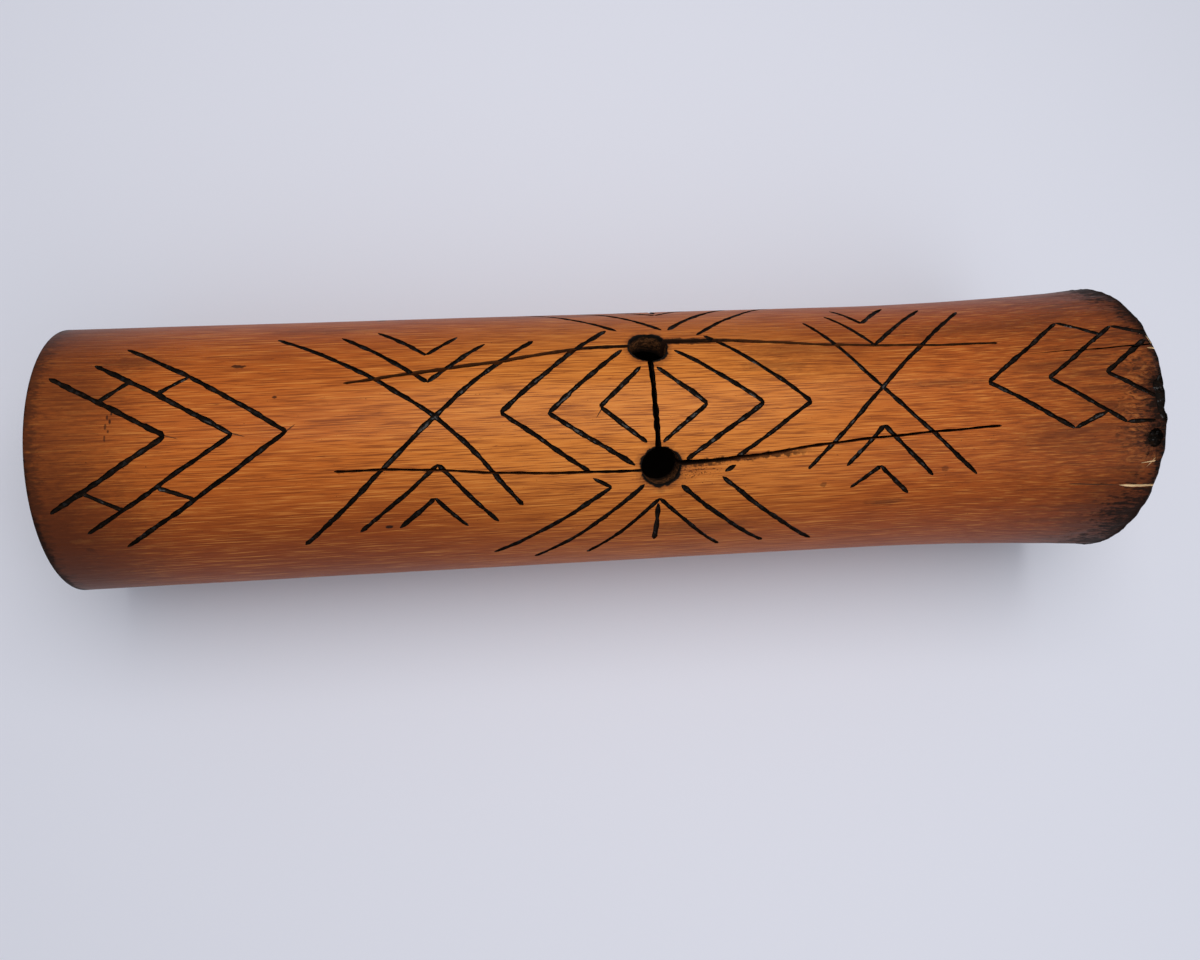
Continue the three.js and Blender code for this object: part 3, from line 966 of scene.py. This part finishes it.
def carve_ties(nest, ties):
    """Fine cuts from a share of one arrow's arm to a share of the next arrow's."""
    for arm, shares in ties:
        for i, (near, far) in enumerate(shares):
            marks = [arm_end(nest, arm, i, near), arm_end(nest, arm, i + 1, far)]
            cut(marks, width=1.9, depth=0.9, leads=(0.5, 0.5))


def carve_returns(nest, returns):
    """Short cuts that turn back from the ends of the arms."""
    for arm, runs, rises in returns:
        for i, (run, rise) in enumerate(zip(runs, rises)):
            x, arc = arm_end(nest, arm, i)
            cut([(x, arc), (x + run, arc + rise)], leads=(1.5, 2.5))


THIN_END_ARROWS = nest_of(
    [-178, -153.5, -133.5],
    [-6, -6.5, -6],
    ([-43, -52, -62], [26, 32.5, 41.5]),
    ([-43, -56.5, -64], [-28.5, -37.5, -45.5]),
)
THIN_END_TIES = [(0, [(0.56, 0.73), (0.54, 0.59)]), (1, [(0.72, 0.74), (0.51, 0.555)])]
NODE_END_ARROWS = nest_of(
    [151, 177.5, 203],
    [2.5, 3, 4],
    ([39, 35.5, 22], [27.5, 23, 14]),
    ([36, 32.5, 20], [-20.5, -19.5, -11]),
)
NODE_END_RETURNS = [(0, [17, 15], [-8.5, -6]), (1, [14.5, 12], [6, 0.5])]

carve_nest(THIN_END_ARROWS)
carve_ties(THIN_END_ARROWS, THIN_END_TIES)
carve_nest(NODE_END_ARROWS)
carve_returns(NODE_END_ARROWS, NODE_END_RETURNS)
print("arrows at both ends:", len(cuts), "cuts")

# %% Diamonds and crosses
DIAMONDS = [
    nest_of(
        [-13, -34, -52.5],
        [-1.5, -3, -2],
        ([18, 32.5, 46], [17.5, 28, 40.5]),
        ([18, 34, 34.5], [-15, -22.5, -25.5]),
    ),
    nest_of(
        [30.5, 54, 74],
        [-1.5, -2, -2.5],
        ([-19, -34, -40], [17, 26, 35]),
        ([-19, -33, -33], [-15, -22, -22]),
    ),
]
CROSSES = [
    {
        "centre": (-78, -2.5),
        "legs": [((-61, 42), (33, -38)), ((-53.5, -53), (40.5, 35))],
        "nests": [
            nest_of([-80.5, -80.5], [12, 26], ([-33.5, -19.5], [27, 16.5]), ([23.5, 12.5], [19.5, 11])),
            nest_of(
                [-77.5, -79.5],
                [-21.5, -35.5],
                ([-32, -14.5], [-28.5, -13.5]),
                ([22.5, 12.5], [-26.5, -14]),
            ),
        ],
    },
    {
        "centre": (105, 2.5),
        "legs": [((-26, 37.5), (41, -38.5)), ((46, 41.5), (-33, -33))],
        "nests": [
            nest_of([106, 105], [23, 38], ([-15.5, -9.5], [22.5, 14.5]), ([29, 15], [25.5, 15])),
            nest_of([104, 103], [-13.5, -30.5], ([-15.5, -12], [-16.5, -9.5]), ([22.5, 14], [-22.5, -13.5])),
        ],
    },
]
for nest in DIAMONDS:
    carve_nest(nest)
for cross in CROSSES:
    x, arc = cross["centre"]
    for (run_a, rise_a), (run_b, rise_b) in cross["legs"]:
        cut([(x + run_a, arc + rise_a), (x, arc), (x + run_b, arc + rise_b)])
    for nest in cross["nests"]:
        carve_nest(nest)
print("with diamonds and crosses:", len(cuts), "cuts")

# %% Fans down the flanks
FANS = [
    {
        "starts": [(-9.5, -34.5), (4, -34), (10.5, -40.5), (10.5, -40.5), (19, -35), (36, -32)],
        "run": [-47.5, -44, -28.5, 28.5, 39, 44],
        "rise": [-33.5, -40, -31.5, -30.5, -35, -38.5],
        "bar": ((10, -43), (10, -64)),
    },
    {
        "starts": [(-2, 38), (17, 37.5), (17, 54), (17, 54), (19.5, 37.5), (31, 33)],
        "run": [-42, -40, -24, 24, 40, 44],
        "rise": [32, 36, 18, 18, 35, 36],
        "bar": ((17, 57), (17, 73)),
    },
]
HOOKS = [[(-17, -30), (-9.5, -34.5)], [(41.5, -27.5), (37, -30)]]
for fan in FANS:
    for (x, arc), run, rise in zip(fan["starts"], fan["run"], fan["rise"]):
        cut([(x, arc), (x + run, arc + rise)])
    cut(list(fan["bar"]), width=2.0)
for hook in HOOKS:
    cut(hook, leads=(1.5, 1.5))
print("with fans:", len(cuts), "cuts")

# %% [markdown]
# ## Slits, cracks and chips
# The saw's plank gives the two slits and the cross cut. The slits widen a little where the saw started
# from a hole. The same plank, thinner and shallower, opens the drying crack that runs in from the node.
# The gouge with a fresh-wood finish flakes pale chips off the rim, and slips of its tip leave faint marks
# by the arrows.

# %% Slits, cracks and chips
SLITS = [
    ([(-112.5, 13), (-85, 16.5), (-50, 21.5), (-20, 26.3), (9.5, 27.5)], [1.2, 1.8, 1.9, 1.9, 2.0]),
    ([(9.5, 29.5), (45, 28.5), (90, 24), (125, 22), (160, 21)], [2.8, 2.3, 1.6, 1.4, 1.3, 1.2]),
    ([(-117, -22.5), (-90, -23), (-55, -26), (-20, -27.5), (10.5, -28)], [1.1, 1.1, 1.2, 1.3]),
    ([(10.5, -26), (45, -24), (80, -20.3), (115, -17.7), (155, -16)], [2.2, 1.5, 1.2, 1.1, 1.0]),
]
for marks, widths in SLITS:
    cut(marks, "saw", "sawn", width=widths, depth=SAW_DEPTH / MM, leads=(0, 0), sway=0.2)
cut([(9, 26), (9.5, -26)], "saw", "char", width=[1.0, 1.5], depth=SAW_DEPTH / MM, leads=(0, 0), sway=0.1)
cut([(9, 27), (9.5, -27)], width=[2.1, 2.6], depth=1.8, leads=(1, 1))
cut([(172, 14.3), (195, 14.8), (231, 15.2)], "saw", "char", width=[0.35, 0.6, 0.7], depth=3, leads=(22, 0))
CHIPS = [
    ([(223.5, 20.5), (230, 19.8)], 1.1, 0.7),
    ([(224, 13.6), (230, 13.0)], 1.3, 0.9),
    ([(226, 19.5), (227, 14)], 0.7, 0.5),
    ([(211, -42.8), (230, -43.4)], 1.1, 0.9),
    ([(218, -33.4), (224, -32.6)], 0.7, 0.35),
    ([(220.5, -35.4), (223.5, -30.8)], 0.5, 0.3),
]
for marks, width, depth in CHIPS:
    cut(marks, "gouge", "fresh", width=[width], depth=depth, leads=(6, 0.5), sway=0.4)
SLIPS = [
    [(-179, -5.5), (-173, -7.5)],
    [(-155, -5.5), (-149, -7.5)],
    [(-135, -7), (-130.5, -3.5)],
    [(-11, 0), (-15, -6)],
    [(188, -42.2), (211, -43)],
]
for slip in SLIPS:
    cut(slip, "gouge", "sawn", width=[0.6], depth=0.25, leads=(2, 4), sway=0.1)
BROKEN_RIM = [(226.4, 2), (225.2, -4), (225.0, -10), (226.4, -17)]
cut(BROKEN_RIM, width=[2.6, 4.6, 4.8, 3.0], depth=2.2, leads=(2, 2))
print("with slits, crack and chips:", len(cuts), "cuts")

# %% [markdown]
# ## Cutting
# A boolean needs each cutter to be a clean solid, and cuts that cross would overlap inside one cutter. So
# the cuts are shared out over a few passes, with no two that touch in the same pass, and each pass is
# joined and taken away from the drum at once.

# %% Share the cuts out over passes
CLEARANCE = 5.5 * MM


def samples_of(cut):
    path = smooth_path(cut["marks"])
    count = max(2, int(np.hypot(*(path[-1] - path[0])) / (2 * MM)))
    stops = np.linspace(0, len(path) - 1, count)
    return np.column_stack([np.interp(stops, range(len(path)), path[:, i]) for i in (0, 1)])


def share_out(cuts):
    """Lists of cuts, in which none comes near another."""
    passes = []
    for cut in cuts:
        samples = samples_of(cut)
        for one_pass in passes:
            taken = np.concatenate([other for _, other in one_pass])
            gaps = np.hypot(*(samples[:, None] - taken[None]).transpose(2, 0, 1))
            if gaps.min() > CLEARANCE:
                one_pass.append((cut, samples))
                break
        else:
            passes.append([(cut, samples)])
    return [[cut for cut, _ in one_pass] for one_pass in passes]


passes = share_out(cuts)
print("passes:", [len(one_pass) for one_pass in passes])


# %% Take the passes away
def join(pieces):
    only(pieces[0])
    for piece in pieces:
        piece.select_set(True)
    if len(pieces) > 1:
        bpy.ops.object.join()
    return pieces[0]


def take_away(piece, cutter):
    """Subtracts the cutter, whose faces keep their finish, and deletes it."""
    boolean = piece.modifiers.new("cut", "BOOLEAN")
    boolean.operation = "DIFFERENCE"
    boolean.solver = "MANIFOLD"
    boolean.object = cutter
    apply_modifiers(piece)
    bpy.data.objects.remove(cutter)


for one_pass in passes:
    take_away(drum, join([lay_cut(cut) for cut in one_pass]))
    print("after a pass of", len(one_pass), "cuts the drum has", len(drum.data.polygons), "faces")

# %% [markdown]
# ## Holes and bud scars
# A bored hole is a disc extruded up through the wall, ring by ring, and flared at the skin where the bit
# and the fire broke its edge. Buds once stood on the node. Their scars have rotted and burnt out into
# pits, and a scoop of the rim has broken away beside them.

# %% Bored holes
HOLE_RINGS = [(-13, 7.6), (-8, 7.5), (-5, 7.5), (-2.4, 7.6), (-1.0, 7.8), (0.1, 8.1), (1.8, 8.5)]


def cutter_at(x, arc, make, **shape):
    """Adds a primitive that stands on the skin, with Z pointing out, and gives it all the finishes."""
    place = on_culm(np.array([x * MM]), np.array([arc * MM]), 0)[0]
    make(location=place, rotation=(-arc * MM / BODY_RADIUS, 0, 0), **shape)
    piece = bpy.context.object
    add_finishes(piece)
    return piece


def finish_cutter(piece, finish, roughness, seed):
    """Roughens a cutter in edit mode and gives it its finish."""
    bpy.ops.mesh.select_all(action="SELECT")
    bpy.ops.transform.vertex_random(offset=roughness, seed=seed)
    bpy.ops.mesh.normals_make_consistent(inside=False)
    leave_edit()
    finish_all(piece, finish)
    return piece


def bored_hole(x, arc, seed):
    outward = Vector((0, math.sin(arc * MM / BODY_RADIUS), math.cos(arc * MM / BODY_RADIUS)))
    shape = {"vertices": 64, "radius": HOLE_RINGS[0][1] * MM, "fill_type": "NGON"}
    hole = cutter_at(x, arc, bpy.ops.mesh.primitive_circle_add, **shape)
    edit(hole)
    bpy.ops.transform.translate(value=outward * HOLE_RINGS[0][0] * MM)
    for (height, radius), (next_height, next_radius) in zip(HOLE_RINGS, HOLE_RINGS[1:]):
        rise = outward * (next_height - height) * MM
        bpy.ops.mesh.extrude_region_move(TRANSFORM_OT_translate={"value": rise})
        bpy.ops.transform.resize(value=(next_radius / radius,) * 3)
    return finish_cutter(hole, "bored", 0.22 * MM, seed)


for seed, (x, arc) in enumerate(HOLES):
    take_away(drum, bored_hole(x, arc, seed + 11))
print("holes bored:", len(drum.data.polygons), "faces")

# %% Bud scars
SCARS = [
    ((225.0, -3.0), (3.4, 3.5, 3.4)),
    ((222.3, -23), (3.3, 4.2, 3.6)),
    ((230.2, -11.0), (3.4, 6.2, 5.5)),
    ((231.2, -18.5), (4.2, 5.5, 5.0)),
]


def pit(x, arc, size, seed):
    ball = cutter_at(x, arc, bpy.ops.mesh.primitive_ico_sphere_add, subdivisions=4, radius=MM)
    edit(ball)
    bpy.ops.transform.resize(value=size)
    return finish_cutter(ball, "char", 0.35 * MM, seed)


for seed, ((x, arc), size) in enumerate(SCARS):
    take_away(drum, pit(x, arc, size, seed + 31))
print("scars:", len(drum.data.polygons), "faces")

# %% [markdown]
# ## Set the drum down
# The finished drum is tipped and raised onto the floor, its underside is worn flat at both ends by a
# bisecting plane, and its shading is smoothed except over the edges of the cuts.

# %% Set down, wear flat and smooth
SMOOTH_ANGLE = math.radians(38)
drum.data.transform(SET_DOWN)
edit(drum)
bpy.ops.mesh.remove_doubles(threshold=SAME_POINT)
bpy.ops.mesh.select_all(action="SELECT")
bpy.ops.mesh.bisect(plane_co=(0, 0, 0), plane_no=(0, 0, 1), clear_inner=True, use_fill=True)
leave_edit()
only(drum)
bpy.ops.object.shade_smooth_by_angle(angle=SMOOTH_ANGLE)
for tool in tools.values():
    bpy.data.objects.remove(tool)
drum.vertex_groups.clear()
triangles = sum(len(face.vertices) - 2 for face in drum.data.polygons)
print("drum:", triangles, "triangles")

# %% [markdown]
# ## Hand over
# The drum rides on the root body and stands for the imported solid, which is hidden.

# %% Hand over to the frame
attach(drum, "root")
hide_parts("bamboo_body")
